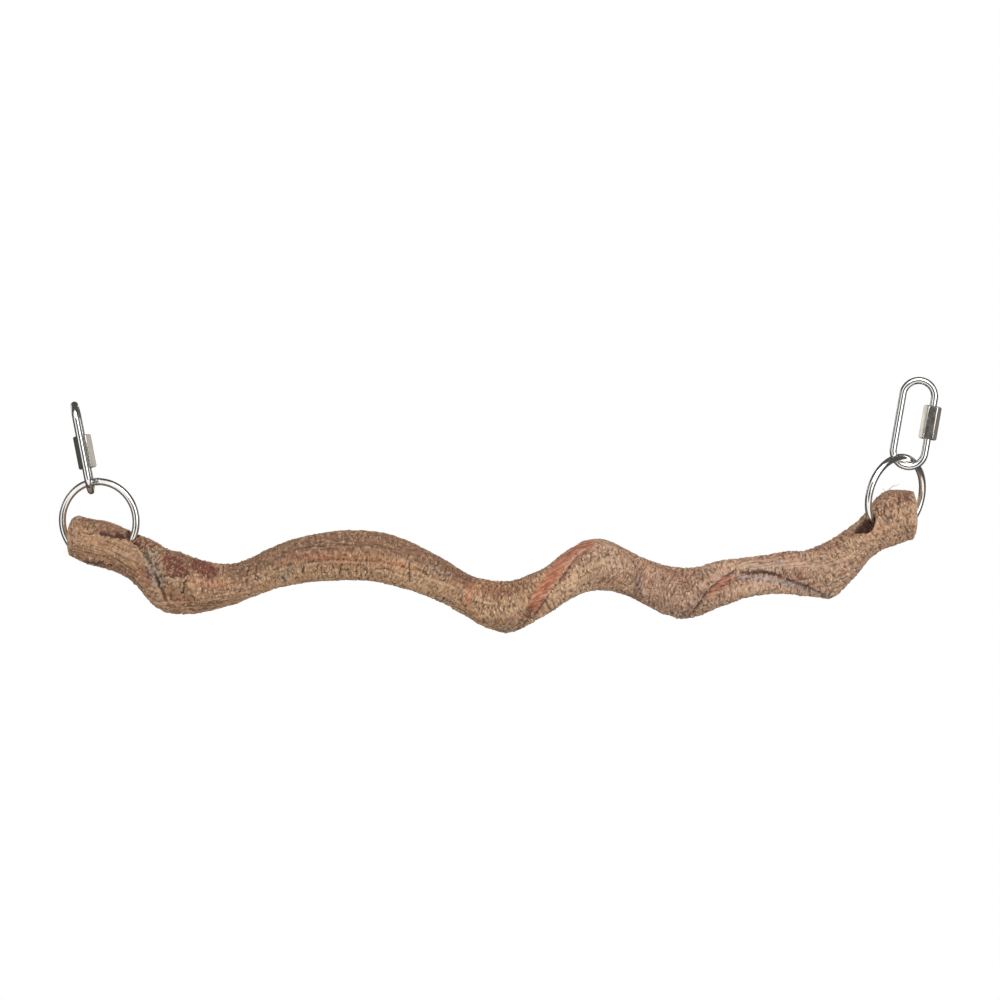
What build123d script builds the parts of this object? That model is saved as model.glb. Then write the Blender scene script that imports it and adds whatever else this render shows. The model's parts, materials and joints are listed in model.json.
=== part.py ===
from build123d import *
from math import cos, radians, sin
import os

# A crooked branch to perch on. A steel ring runs through a curved passage in each end of the branch, and a
# screw quick link hooks into each ring to hang it up. Millimetres: +X runs along the branch to the right,
# +Y goes to the back, +Z is up. The origin is the middle of the box round the whole perch.

# Branch
perch_length = 592
perch_thickness = 33
perch_middle_x = -5.6
flute_count = 3
outline_points = 18

# Cross sections of the branch, from left to right. The first number places one: near an end it is the
# distance from the cut end as a share of the thickness, so that the ends keep their size round the rings,
# and in between it is a share of the length that is left. The next five are shares of the thickness: how
# far the middle lies to the back, the height of the middle, the section's height and depth, and how deep
# its flutes are. The last is the angle of one flute, counted upwards from the front.
left_sections = [
    (0.00, 0.00, -0.75, 0.64, 0.72, 0.02, 30),
    (0.16, 0.00, -0.72, 0.88, 0.84, 0.03, 30),
    (0.38, 0.00, -0.77, 0.98, 0.92, 0.03, 32),
    (0.83, 0.00, -0.87, 1.04, 1.00, 0.05, 36),
    (1.35, -0.03, -1.12, 1.08, 1.03, 0.05, 42),
    (1.85, -0.09, -1.47, 1.40, 1.09, 0.13, -10),
    (2.37, -0.06, -1.68, 1.29, 1.09, 0.11, -40),
]
middle_sections = [
    (0.036, 0.03, -1.74, 1.10, 1.03, 0.06, -55),
    (0.082, 0.12, -1.68, 0.87, 0.94, 0.03, -55),
    (0.128, 0.06, -1.42, 0.89, 0.91, 0.03, -45),
    (0.183, -0.09, -1.18, 0.98, 0.94, 0.03, -35),
    (0.239, -0.15, -1.08, 1.04, 0.99, 0.03, -30),
    (0.294, -0.15, -1.09, 1.06, 1.00, 0.03, -30),
    (0.349, -0.06, -1.29, 1.04, 1.00, 0.03, -35),
    (0.405, 0.09, -1.65, 0.95, 0.94, 0.04, -50),
    (0.445, 0.18, -1.98, 0.95, 0.97, 0.05, -65),
    (0.497, 0.09, -2.18, 1.10, 1.03, 0.08, -70),
    (0.536, -0.12, -2.00, 1.04, 0.97, 0.12, -35),
    (0.577, -0.24, -1.65, 1.06, 0.94, 0.12, 10),
    (0.634, -0.06, -1.27, 1.10, 1.03, 0.08, 75),
    (0.690, 0.18, -1.48, 0.98, 0.97, 0.03, 85),
    (0.729, 0.18, -1.74, 1.02, 0.97, 0.04, 70),
    (0.773, 0.00, -1.89, 1.10, 1.03, 0.09, 55),
    (0.818, -0.15, -1.71, 1.00, 0.94, 0.12, 105),
    (0.874, -0.12, -1.53, 0.85, 0.88, 0.12, 125),
    (0.935, 0.00, -1.45, 0.91, 0.94, 0.12, 100),
    (0.973, 0.03, -1.44, 1.06, 1.00, 0.10, 80),
]
right_sections = [
    (1.74, 0.00, -1.35, 1.27, 1.06, 0.08, 60),
    (1.40, 0.00, -1.09, 1.21, 1.06, 0.04, 55),
    (1.06, 0.00, -0.74, 1.10, 1.06, 0.04, 55),
    (0.68, 0.03, -0.36, 1.22, 1.09, 0.04, 55),
    (0.30, 0.09, -0.26, 1.15, 1.14, 0.04, 60),
    (0.14, 0.11, -0.24, 1.08, 1.15, 0.04, 60),
    (0.00, 0.12, -0.23, 1.02, 1.15, 0.04, 60),
]

# Rings, each a round bar bent to a circle. A seat is where the branch hangs on the ring, measured from the
# middle of the cut end: in along the branch, down, and to the back.
ring_inside_diameter = 50
ring_wire = 5
passage_clearance = 0.4
left_seat_inset = 28
left_seat_drop = 13.4
left_seat_back = -2.5
right_seat_inset = 22
right_seat_drop = 12.5
right_seat_back = -4

# How far each hanging piece leans to the right, and how far it is turned with its right side to the back.
left_ring_lean = -14
left_ring_turn = -14.5
right_ring_lean = 18
right_ring_turn = 42
left_link_lean = -11
left_link_turn = 94
right_link_lean = 10
right_link_turn = -8

# Drilled mouths where the rings go in at the front. The middle of a mouth's floor is measured from the middle
# of the cut end as a seat is, and the drill leans to the front.
mouth_lean = 20
mouth_height = 35
left_mouth_diameter = 9.5
left_mouth_inset = 45
left_mouth_drop = 0.5
left_mouth_back = -4.8
right_mouth_diameter = 14
right_mouth_inset = 36.4
right_mouth_drop = 20
right_mouth_back = -11.1

# Quick links. The bar has a gap in one leg, which the sleeve nut closes.
link_wire = 5
link_length = 66
link_width = 27
link_gap = 6
tip_chamfer = 0.6
hook_clearance = 0.7

# Sleeve nuts. Each covers the short end of the bar and screws back along the long one to open the gap.
nut_length = 23.5
nut_across_flats = 11
nut_cover = 5
nut_off_middle = 2.5
nut_clearance = 0.1
nut_face_diameter = 10.6
nut_end_rise = 0.7
nut_bore_chamfer = 1

# How far each nut's flats are turned on the bar from lying square across the link.
left_nut_turn = 30
right_nut_turn = 5

ring_radius = (ring_inside_diameter + ring_wire) / 2
leg_offset = (link_width - link_wire) / 2
leg_straight = (link_length - link_width) / 2
short_tip = nut_off_middle + nut_length / 2 - nut_cover
long_tip = short_tip - link_gap
hook_distance = leg_straight + leg_offset - (link_wire + ring_wire) / 2 - hook_clearance


def section_outline(shape):
    """Points round one cross section, with its top and bottom at exactly the given height."""
    tall, deep, flute_depth, flute_angle = shape[2:]
    outline = []
    for step in range(outline_points):
        angle = 360 * step / outline_points
        swell = 1 - 2 * flute_depth * cos(radians(flute_count * (angle - flute_angle) / 2)) ** 4
        outline.append((-deep / 2 * swell * cos(radians(angle)), swell * sin(radians(angle))))
    low = min(up for _, up in outline)
    high = max(up for _, up in outline)
    outline = [(back, tall * ((up - low) / (high - low) - 1 / 2)) for back, up in outline]
    return [(back * perch_thickness, up * perch_thickness) for back, up in outline]


def section_plane(x, shape):
    """Plane across the branch, round the middle of one section."""
    middle = Vector(x, shape[0] * perch_thickness, shape[1] * perch_thickness)
    return Plane(origin=middle, x_dir=(0, 1, 0), z_dir=(1, 0, 0))


def hanging_plane(middle, lean, turn):
    """Plane of a ring or a link: its x goes across the piece and its y goes up it."""
    up = Vector(sin(radians(lean)), 0, cos(radians(lean)))
    level = Vector(cos(radians(lean)), 0, -sin(radians(lean)))
    across = level * cos(radians(turn)) + Vector(0, sin(radians(turn)), 0)
    return Plane(origin=middle, x_dir=across, z_dir=across.cross(up))


def ring_plane(seat, lean, turn):
    place = hanging_plane(seat, lean, turn)
    place.origin = seat + place.y_dir * ring_radius
    return place


def link_plane(ring, lean, turn):
    place = hanging_plane(ring.origin, lean, turn)
    place.origin = ring.origin + ring.y_dir * ring_radius + place.y_dir * hook_distance
    return place


def mouth_plane(floor):
    """Plane of a mouth's floor, square to the drill."""
    upwards = Vector(0, -sin(radians(mouth_lean)), cos(radians(mouth_lean)))
    return Plane(origin=floor, x_dir=(1, 0, 0), z_dir=upwards)


def nut_plane(link, short_end, turn):
    """Plane across the middle of a nut, turned on the bar."""
    middle = link.origin + link.x_dir * leg_offset + link.y_dir * short_end * nut_off_middle
    flats = link.x_dir * cos(radians(turn)) - link.z_dir * sin(radians(turn))
    return Plane(origin=middle, x_dir=flats, z_dir=link.y_dir)


def make_ring(place):
    with BuildPart(place) as ring:
        Torus(ring_radius, ring_wire / 2)
    return ring.part


def make_quick_link(place, short_end):
    """Bent bar with its gap in the +x leg. The short end is at the top for 1 and at the bottom for -1."""
    bend = short_end * leg_straight
    crown = short_end * (leg_straight + leg_offset)
    with BuildPart() as link:
        with BuildLine(place) as bar:
            Line((leg_offset, short_end * short_tip), (leg_offset, bend))
            ThreePointArc((leg_offset, bend), (0, crown), (-leg_offset, bend))
            Line((-leg_offset, bend), (-leg_offset, -bend))
            ThreePointArc((-leg_offset, -bend), (0, -crown), (leg_offset, -bend))
            Line((leg_offset, -bend), (leg_offset, short_end * long_tip))
        with BuildSketch(Plane(origin=bar.line @ 0, z_dir=bar.line % 0)):
            Circle(link_wire / 2)
        sweep(path=bar.line)
        chamfer(link.faces().filter_by(GeomType.PLANE).edges(), length=tip_chamfer)
    return link.part


def make_sleeve_nut(place):
    """Hexagon bar with turned ends and a bore that runs on the link's bar."""
    end = nut_length / 2
    face = nut_face_diameter / 2
    corner = nut_across_flats / 2 / cos(radians(30))
    shoulder = end - nut_end_rise
    with BuildPart() as nut:
        with BuildSketch(place.offset(-end)):
            RegularPolygon(nut_across_flats / 2, side_count=6, major_radius=False)
        extrude(amount=nut_length)
        with BuildSketch(Plane(origin=place.origin, x_dir=place.x_dir, z_dir=-place.y_dir)):
            Polygon(
                (0, -end),
                (face, -end),
                (corner, -shoulder),
                (corner, shoulder),
                (face, end),
                (0, end),
                align=None,
            )
        revolve(axis=Axis(place.origin, place.z_dir), mode=Mode.INTERSECT)
        with Locations(place):
            Hole(link_wire / 2 + nut_clearance)
        bore_edges = nut.edges().filter_by(GeomType.CIRCLE).group_by(SortBy.RADIUS)[0]
        chamfer(bore_edges, length=nut_bore_chamfer)
    return nut.part


left_end = perch_middle_x - perch_length / 2
right_end = perch_middle_x + perch_length / 2
middle_start = left_end + left_sections[-1][0] * perch_thickness
middle_length = right_end - right_sections[0][0] * perch_thickness - middle_start
sections = [(left_end + place * perch_thickness, shape) for place, *shape in left_sections]
sections += [(middle_start + place * middle_length, shape) for place, *shape in middle_sections]
sections += [(right_end - place * perch_thickness, shape) for place, *shape in right_sections]

left_seat_from_end = Vector(left_seat_inset, left_seat_back, -left_seat_drop)
right_seat_from_end = Vector(-right_seat_inset, right_seat_back, -right_seat_drop)
left_mouth_from_end = Vector(left_mouth_inset, left_mouth_back, -left_mouth_drop)
right_mouth_from_end = Vector(-right_mouth_inset, right_mouth_back, -right_mouth_drop)
left_cut = section_plane(*sections[0]).origin
right_cut = section_plane(*sections[-1]).origin
left_ring_place = ring_plane(left_cut + left_seat_from_end, left_ring_lean, left_ring_turn)
right_ring_place = ring_plane(right_cut + right_seat_from_end, right_ring_lean, right_ring_turn)
left_link_place = link_plane(left_ring_place, left_link_lean, left_link_turn)
right_link_place = link_plane(right_ring_place, right_link_lean, right_link_turn)

with BuildPart() as branch:
    for x, shape in sections:
        with BuildSketch(section_plane(x, shape)):
            with BuildLine():
                Spline(*section_outline(shape), periodic=True)
            make_face()
    loft()
    for ring_place, mouth_floor, mouth_diameter in (
        (left_ring_place, left_cut + left_mouth_from_end, left_mouth_diameter),
        (right_ring_place, right_cut + right_mouth_from_end, right_mouth_diameter),
    ):
        with Locations(ring_place):
            Torus(ring_radius, ring_wire / 2 + passage_clearance, mode=Mode.SUBTRACT)
        with BuildSketch(mouth_plane(mouth_floor)):
            Circle(mouth_diameter / 2)
        extrude(amount=mouth_height, mode=Mode.SUBTRACT)

pieces = {
    "branch": branch.part,
    "left_ring": make_ring(left_ring_place),
    "right_ring": make_ring(right_ring_place),
    "left_quick_link": make_quick_link(left_link_place, -1),
    "right_quick_link": make_quick_link(right_link_place, 1),
    "left_sleeve_nut": make_sleeve_nut(nut_plane(left_link_place, -1, left_nut_turn)),
    "right_sleeve_nut": make_sleeve_nut(nut_plane(right_link_place, 1, right_nut_turn)),
}

os.makedirs("parts", exist_ok=True)
for name, piece in pieces.items():
    piece.label = name
    export_step(piece, f"parts/{name}.step")
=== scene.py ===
import json
import math

import bmesh
import bpy
import numpy as np
from mathutils import Matrix, Vector


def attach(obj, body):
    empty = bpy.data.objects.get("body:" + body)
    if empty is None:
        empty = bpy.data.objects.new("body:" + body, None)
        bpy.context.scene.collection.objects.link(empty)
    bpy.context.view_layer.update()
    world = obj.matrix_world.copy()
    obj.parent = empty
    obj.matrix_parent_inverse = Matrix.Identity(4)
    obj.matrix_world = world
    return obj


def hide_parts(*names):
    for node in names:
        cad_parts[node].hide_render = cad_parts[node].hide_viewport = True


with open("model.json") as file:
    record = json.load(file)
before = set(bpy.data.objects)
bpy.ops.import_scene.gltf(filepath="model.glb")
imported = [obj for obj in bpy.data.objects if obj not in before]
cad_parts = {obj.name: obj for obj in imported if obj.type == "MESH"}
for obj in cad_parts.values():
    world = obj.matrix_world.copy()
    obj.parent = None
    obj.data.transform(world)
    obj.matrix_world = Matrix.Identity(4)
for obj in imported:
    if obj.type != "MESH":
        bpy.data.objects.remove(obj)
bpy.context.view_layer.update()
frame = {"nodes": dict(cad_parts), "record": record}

# The perch is one crooked length of liana with its bark left on. Three grown strands twist round each
# other, so it has rounded ridges with reddish valleys between them. It was sawn off at both ends, and a
# curved passage for a ring was drilled through each end.
bark_grain = 0.00102
same_point = 1e-6


def put_in_scene(name, data):
    """A new object of that name in the scene."""
    made = bpy.data.objects.new(name, data)
    bpy.context.scene.collection.objects.link(made)
    return made


def mesh_from(build, name):
    """Ends a build and gives its mesh."""
    made = bpy.data.meshes.new(name)
    build.to_mesh(made)
    build.free()
    return made


def made_plain(piece):
    """Makes the piece's modifiers real and leaves it with a plain mesh of its own."""
    made = bpy.data.meshes.new_from_object(piece.evaluated_get(bpy.context.evaluated_depsgraph_get()))
    made.name = piece.name
    piece.modifiers.clear()
    piece.data = made
    return made


def rows_of(points, name):
    """Three numbers for each point of a mesh, one row each."""
    rows = np.empty(len(points) * 3)
    points.foreach_get(name, rows)
    return rows.reshape(-1, 3)


blank = bmesh.new()
blank.from_mesh(frame["nodes"]["branch"].data)
bmesh.ops.remove_doubles(blank, verts=blank.verts, dist=same_point)
branch = put_in_scene("branch_bark", mesh_from(blank, "branch_blank"))
regrain = branch.modifiers.new("even grain", "REMESH")
regrain.mode = "VOXEL"
regrain.voxel_size = bark_grain
branch_mesh = made_plain(branch)
count = len(branch_mesh.vertices)

# The wood swells a little below the right-hand mouth, which lifts its lower lip.
lip_middle = (0.2516, -0.017, -0.0229)
lip_reach = (0.007, 0.006, 0.005)
lip_rise = 0.003
as_drilled = rows_of(branch_mesh.vertices, "co")
from_lip = (((as_drilled - lip_middle) / lip_reach) ** 2).sum(axis=1)
place = as_drilled.copy()
place[:, 2] += lip_rise * np.exp(-from_lip)
branch_mesh.vertices.foreach_set("co", place.ravel())
branch_mesh.update()
facing = rows_of(branch_mesh.vertex_normals, "vector")

# The grain runs along the branch's own middle line, so each point gets its length along that line and
# its two distances from it.
slice_width = 0.004
smoothing_slices = 13
foot_tries = 4
foot_step = 0.8
slice_places = np.arange(place[:, 0].min(), place[:, 0].max() + slice_width, slice_width)
middle_line = []
for start in slice_places:
    inside = place[np.abs(place[:, 0] - start) < slice_width]
    middle_line.append((inside.min(axis=0) + inside.max(axis=0)) / 2.0)
middle_line = np.array(middle_line)
middle_line[:, 0] = slice_places
smoothing = np.hanning(smoothing_slices)
smoothing /= smoothing.sum()
for column in (1, 2):
    padded_line = np.pad(middle_line[:, column], smoothing_slices // 2, mode="edge")
    middle_line[:, column] = np.convolve(padded_line, smoothing, mode="valid")
slopes = np.gradient(middle_line[:, 1:], slice_width, axis=0)
steps = np.sqrt(1.0 + (slopes ** 2).sum(axis=1)) * slice_width
lengths = np.concatenate(([0.0], np.cumsum(steps)[:-1]))


def along_line(values, x):
    """The middle line's values at places along X."""
    return np.interp(x, slice_places, values)


foot = place[:, 0].copy()
for attempt in range(foot_tries):
    side_slope = along_line(slopes[:, 0], foot)
    rise_slope = along_line(slopes[:, 1], foot)
    side_gap = place[:, 1] - along_line(middle_line[:, 1], foot)
    rise_gap = place[:, 2] - along_line(middle_line[:, 2], foot)
    stretch = 1.0 + side_slope ** 2 + rise_slope ** 2
    foot += foot_step * ((place[:, 0] - foot) + side_gap * side_slope + rise_gap * rise_slope) / stretch
    foot = np.clip(foot, slice_places[0], slice_places[-1])
length_along = along_line(lengths, foot)
side_slope = along_line(slopes[:, 0], foot)
rise_slope = along_line(slopes[:, 1], foot)
side_gap = place[:, 1] - along_line(middle_line[:, 1], foot)
rise_gap = (place[:, 2] - along_line(middle_line[:, 2], foot)) * np.sqrt(1.0 + rise_slope ** 2)

# Marks are placed as the eye sees them from the camera, counted in steps from the upper left corner of
# the view. Drawn lines stray in waves: a height, and so much of a wave for each step across and down.
photo_middle = 499.5
photo_step = 0.0007
camera_away = 2.0
camera_height = 0.00315
waves_across = ((1.3, 0.83, 0.41), (0.8, 0.37, -1.17))
waves_down = ((1.3, -0.53, 0.71), (0.8, 1.31, 0.29))
side_fade = (-0.1, 0.3)
streak_core = 0.55
streak_edge = 1.35


def soft_step(low, high, value):
    """Rises smoothly from 0 at low to 1 at high."""
    share = np.clip((value - low) / (high - low), 0.0, 1.0)
    return share * share * (3.0 - 2.0 * share)


def stray(waves):
    """How far a drawn line strays at each point."""
    return sum(height * np.sin(across * seen_x + down * seen_y) for height, across, down in waves)


nearness = photo_step * (1.0 + place[:, 1] / camera_away)
seen_x = photo_middle + place[:, 0] / nearness
seen_y = photo_middle - (place[:, 2] - camera_height) / nearness
stray_x = stray(waves_across)
stray_y = stray(waves_down)
front = soft_step(*side_fade, -facing[:, 1])
back = soft_step(*side_fade, facing[:, 1])


def from_run(x, y, start, end):
    """A straight run, the share of it that each point lies along, and each point's gap from it."""
    run = (end[0] - start[0], end[1] - start[1])
    share = ((x - start[0]) * run[0] + (y - start[1]) * run[1]) / (run[0] ** 2 + run[1] ** 2)
    inside = np.clip(share, 0.0, 1.0)
    gap = np.hypot(x - start[0] - inside * run[0], y - start[1] - inside * run[1])
    return run, share, gap


def streak(width, rough, side, points):
    """How strongly each point of the bark lies on a streak of that half width."""
    x = seen_x + rough * stray_x
    y = seen_y + rough * stray_y
    nearest = np.minimum.reduce([from_run(x, y, start, end)[2] for start, end in zip(points, points[1:])])
    return side * (1.0 - soft_step(streak_core * width, streak_edge * width, nearest))


def drawn(rows, side=front):
    """The strongest of several streaks, each a row of half width, strength, roughness and points."""
    return np.maximum.reduce([streak(width, rough, side, points) * strength
                              for width, strength, rough, *points in rows])


# Each row of the marks holds a half width, a strength, a roughness and the points of a line. The marks
# behind are seen through the branch, as if it were clear.
middle_flute = ((533, 606), (545, 585), (557, 568), (573, 552), (588, 542))
right_flute = ((709, 591), (719, 583), (730, 576))
red_marks = (
    (6.5, 1.0, 1.0, *middle_flute),
    (4.2, 0.75, 1.0, *right_flute),
    (3.5, 0.85, 1.0, (276, 562), (300, 556), (327, 556)),
    (3, 0.45, 1.0, (327, 557), (362, 559), (401, 564)),
    (4.5, 0.8, 1.0, (449, 572), (462, 578), (470, 586)),
    (3.5, 0.8, 1.0, (470, 588), (467, 602)),
    (5, 0.5, 1.0, (190, 582), (222, 584)),
    (3, 0.7, 1.0, (139, 571), (147, 583)),
)
red_marks_behind = (
    (6, 1.0, 1.0, (596, 544), (614, 566), (634, 588)),
    (5, 0.8, 1.0, (262, 580), (300, 562), (345, 550), (392, 548)),
    (5, 0.8, 1.0, (118, 540), (146, 566), (176, 590)),
    (4, 0.8, 1.0, (700, 602), (728, 582), (762, 572)),
    (4, 0.7, 1.0, (462, 580), (486, 606)),
)
red = np.maximum(drawn(red_marks), drawn(red_marks_behind, back))
rust_marks = (
    (9.5, 1.0, 1.0, (168, 563), (181, 569)),
    (7.5, 0.9, 1.0, (197, 564), (210, 571)),
    (6, 0.5, 1.0, (181, 568), (198, 567)),
    (3, 0.9, 1.0, (99, 531), (121, 534)),
    (3.5, 0.8, 1.0, (901, 496), (908, 498)),
    (3, 0.7, 1.0, (140, 541), (150, 545)),
)
rust_marks_behind = (
    (7, 1.0, 1.0, (226, 588), (240, 584)),
    (5, 0.9, 1.0, (846, 545), (858, 530)),
)
rust = np.maximum(drawn(rust_marks), drawn(rust_marks_behind, back))
tan_marks = (
    (6.5, 1.0, 1.0, (255, 582), (314, 573), (378, 573), (409, 584), (441, 591)),
    (12, 1.0, 1.0, (560, 592), (600, 568), (612, 562)),
    (14, 1.0, 1.0, (816, 576), (850, 549)),
    (5, 1.0, 1.0, (745, 590), (790, 592)),
    (7, 0.5, 1.0, (95, 548), (128, 562)),
)
tan_marks_behind = (
    (9, 1.0, 1.0, (300, 580), (350, 568), (410, 572)),
    (9, 1.0, 1.0, (520, 600), (560, 570), (580, 556)),
    (9, 1.0, 1.0, (790, 580), (830, 570)),
)
tan = np.maximum(drawn(tan_marks), drawn(tan_marks_behind, back))
dusky_marks = (
    (12.5, 1.0, 1.0, (236, 569), (272, 554), (322, 542), (382, 540), (430, 555), (468, 575)),
    (7, 1.0, 1.0, (143, 541), (172, 555), (214, 573)),
    (7, 0.9, 1.0, (76, 519), (120, 527)),
    (4, 0.7, 1.0, (90, 562), (130, 573), (160, 597)),
    (3, 0.9, 1.0, (889, 491), (913, 491)),
    (5, 0.9, 1.0, (640, 568), (638, 582), (636, 597)),
    (4, 0.8, 1.0, (683, 617), (693, 608), (704, 594)),
    (4, 0.8, 1.0, (531, 610), (520, 629)),
    (9, 0.35, 1.0, (572, 558), (604, 545), (640, 566)),
    (3.5, 0.8, 1.0, (793, 582), (812, 589), (828, 597)),
)
dusky_marks_behind = (
    (8, 0.8, 1.0, (196, 600), (236, 598), (270, 590)),
    (7, 0.8, 1.0, (430, 552), (470, 576), (500, 590)),
    (7, 0.8, 1.0, (650, 580), (684, 606)),
)
# The dusky mark also holds painted shade: on faces turned away from the camera, which darkens the rims and
# the back, and on faces turned up. It is also darker towards the left.
turned_away = 0.45
turned_away_fade = (-0.5, 0.0)
less_behind = 0.6
painted_shade_on_top = 0.35
painted_shade_on_top_fade = (0.25, 0.9)
darker_left = 0.3
darker_left_fade = (170, 270)
dusky = np.maximum.reduce([
    drawn(dusky_marks),
    drawn(dusky_marks_behind, back),
    turned_away * soft_step(*turned_away_fade, facing[:, 1]) * (1.0 - less_behind * back),
    painted_shade_on_top * soft_step(*painted_shade_on_top_fade, facing[:, 2]),
    darker_left * (1.0 - soft_step(*darker_left_fade, seen_x)),
])
crack_row = (317, 325, 332, 341, 348, 357)
crack_row_top = 564
crack_row_foot = 571
crack_row_lean = 1
# Some rows paint shadow rather than cracks: the second and third darken the gap where the left ring runs in
# under the strand's edge.
crack_and_shadow_marks = (
    (1.5, 1.0, 0.4, (99, 532), (122, 537)),
    (2.2, 1.0, 0.3, (118, 533), (128, 537)),
    (1.5, 1.0, 0.3, (132, 541), (137, 543)),
    (1.6, 0.6, 1.0, (172, 564), (178, 567)),
    (1.2, 0.8, 0.6, (164, 576), (186, 575)),
    (1.1, 1.0, 0.4, (185, 580), (182, 593)),
    (1.7, 1.0, 0.2, (99, 562), (101, 562)),
    (1.3, 1.0, 0.2, (108, 565), (110, 565)),
    (1.3, 0.8, 0.4, (84, 562), (97, 564)),
    (1.0, 1.0, 0.3, (155, 575), (158, 585)),
    (1.6, 0.6, 1.0, (531, 609), (526, 620), (519, 630)),
    (1.6, 0.85, 0.5, (741, 572), (757, 570), (773, 573)),
    (0.9, 0.8, 0.5, (366, 556), (366, 572)),
    (0.9, 0.8, 0.5, (409, 562), (409, 581)),
    (0.8, 0.7, 0.5, (247, 568), (246, 588)),
    (0.8, 0.7, 0.5, (255, 566), (256, 580)),
    (0.8, 0.7, 0.5, (304, 560), (303, 573)),
    (0.8, 0.7, 0.5, (438, 562), (430, 574)),
    (0.8, 0.7, 0.5, (447, 566), (441, 580)),
    (0.8, 0.7, 0.5, (899, 497), (898, 513)),
    (0.8, 0.7, 0.5, (884, 504), (883, 513)),
    (0.7, 0.5, 0.4, (884, 514), (892, 527)),
    (0.7, 0.5, 0.4, (893, 514), (901, 528)),
    (0.8, 0.5, 0.5, (907, 503), (906, 524)),
    *((0.9, 0.75, 0.6, (x, crack_row_top), (x - crack_row_lean, crack_row_foot)) for x in crack_row),
)
dark = drawn(crack_and_shadow_marks)
grey_marks = (
    (8, 1.0, 1.0, (150, 555), (153, 568), (157, 582)),
    (2.5, 1.0, 1.0, (741, 577), (771, 579), (792, 585)),
    (3.5, 0.7, 1.0, (793, 583), (812, 590), (828, 597)),
    (3.5, 1.0, 1.0, (289, 567), (286, 572), (281, 580)),
    (4, 0.6, 1.0, (428, 568), (448, 574)),
    (3, 0.6, 1.0, (440, 597), (452, 602)),
    (2.5, 0.8, 1.0, (502, 630), (520, 631)),
    (3, 0.3, 1.0, (641, 574), (638, 592)),
)
grey_marks_behind = (
    (7, 1.0, 1.0, (330, 562), (338, 574)),
    (6, 0.8, 1.0, (742, 584), (770, 586)),
    (5, 0.7, 1.0, (590, 566), (600, 580)),
)
grey = np.maximum(drawn(grey_marks), drawn(grey_marks_behind, back))
pale_marks = (
    (2, 1.0, 0.3, (153, 570), (155, 572)),
    (1.8, 1.0, 0.3, (157, 578), (159, 580)),
    (1.5, 1.0, 0.3, (643, 591), (644, 592)),
    (1.6, 0.4, 0.6, (741, 576), (771, 578), (793, 584)),
    (1.4, 0.3, 0.8, (752, 565), (790, 563), (828, 567)),
)
pale = drawn(pale_marks)

# Long fibres show where a strand was peeled or rubbed, and there the bark is streaked along the grain.
fibrous_marks = (
    (13, 0.75, 1.0, (66, 545), (100, 546), (130, 560), (150, 585), (165, 606)),
    (6, 0.9, 1.0, *middle_flute),
    (5, 0.9, 1.0, *right_flute),
    (14, 0.25, 1.0, (240, 576), (300, 562), (370, 558), (430, 572), (470, 590)),
    (5, 1.0, 1.0, (742, 563), (790, 562), (832, 566)),
    (6, 1.0, 1.0, (170, 606), (205, 607), (240, 600)),
    (6, 0.7, 1.0, (290, 547), (360, 541), (420, 552)),
)
fibrous = drawn(fibrous_marks)

# Where one strand lies over another there is an edge, with painted shade at its foot. Each row holds how far
# the upper strand rises and the lower one sinks, in millimetres, how many steps that reaches, and the points
# of the line.
strand_edges = (
    (0.9, 1.6, 6, (112, 533), (124, 538), (137, 546), (147, 561), (158, 586), (167, 604)),
    (0.6, 0.6, 6, (590, 546), (575, 557), (562, 574), (550, 591), (538, 607), (522, 628)),
    (0.6, 0.7, 6, (737, 567), (718, 580), (704, 593), (693, 610), (684, 619)),
    (0.6, 1.2, 6, (828, 595), (809, 586), (792, 580), (773, 573), (757, 571), (740, 573)),
    (0.5, 0.7, 5, (250, 583), (285, 566), (330, 560), (380, 562), (420, 572), (462, 590)),
)
strand_edges_behind = (
    (0.8, 1.3, 6, (108, 536), (134, 552), (160, 578), (182, 598)),
    (0.7, 1.1, 6, (256, 588), (296, 569), (345, 557), (398, 555)),
    (0.8, 1.3, 6, (600, 540), (620, 562), (640, 588), (650, 602)),
    (0.7, 1.2, 6, (696, 612), (724, 590), (760, 579), (800, 576)),
)
edge_rough = 0.3
edge_softness = 0.8
foot_narrowing = 0.7
edge_start_fade = (-0.1, 0.5)
edge_end_fade = (0.5, 1.1)
shade_offset = 0.7
shade_width = 1.0
shade_reach = 6
foot_places = (230, 260, 490, 520, 600, 670, 735, 742, 775, 790)
foot_shade_strengths = (0.3, 0.2, 0.12, 0.12, 0.1, 0.12, 0.2, 0.5, 0.5, 0.3)
foot_shade_strength_behind = 0.5


def strand_edge(raised, lowered, reach, points, side):
    """Height of a strand that lies over its neighbour along a line, and how deep in shade its foot is."""
    x = seen_x + edge_rough * stray_x
    y = seen_y + edge_rough * stray_y
    nearest = np.full(count, np.inf)
    height = np.zeros(count)
    shade = np.zeros(count)
    runs = list(zip(points, points[1:]))
    for number, (start, end) in enumerate(runs):
        run, share, gap = from_run(x, y, start, end)
        past = ((x - start[0]) * run[1] - (y - start[1]) * run[0]) / math.hypot(*run)
        on_top = 1.0 - soft_step(-edge_softness, edge_softness, past)
        ends = np.ones(count)
        if number == 0:
            ends = ends * soft_step(*edge_start_fade, share)
        if number == len(runs) - 1:
            ends = ends * (1.0 - soft_step(*edge_end_fade, share))
        upper = on_top * raised * np.exp(-gap / reach)
        lower = (1.0 - on_top) * lowered * np.exp(-gap / (foot_narrowing * reach))
        in_shade = np.exp(-np.abs(past - shade_offset) / shade_width) * (gap < shade_reach)
        closer = gap < nearest
        height = np.where(closer, (upper - lower) * ends, height)
        shade = np.where(closer, in_shade * ends, shade)
        nearest = np.minimum(nearest, gap)
    return side * height, side * shade


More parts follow.
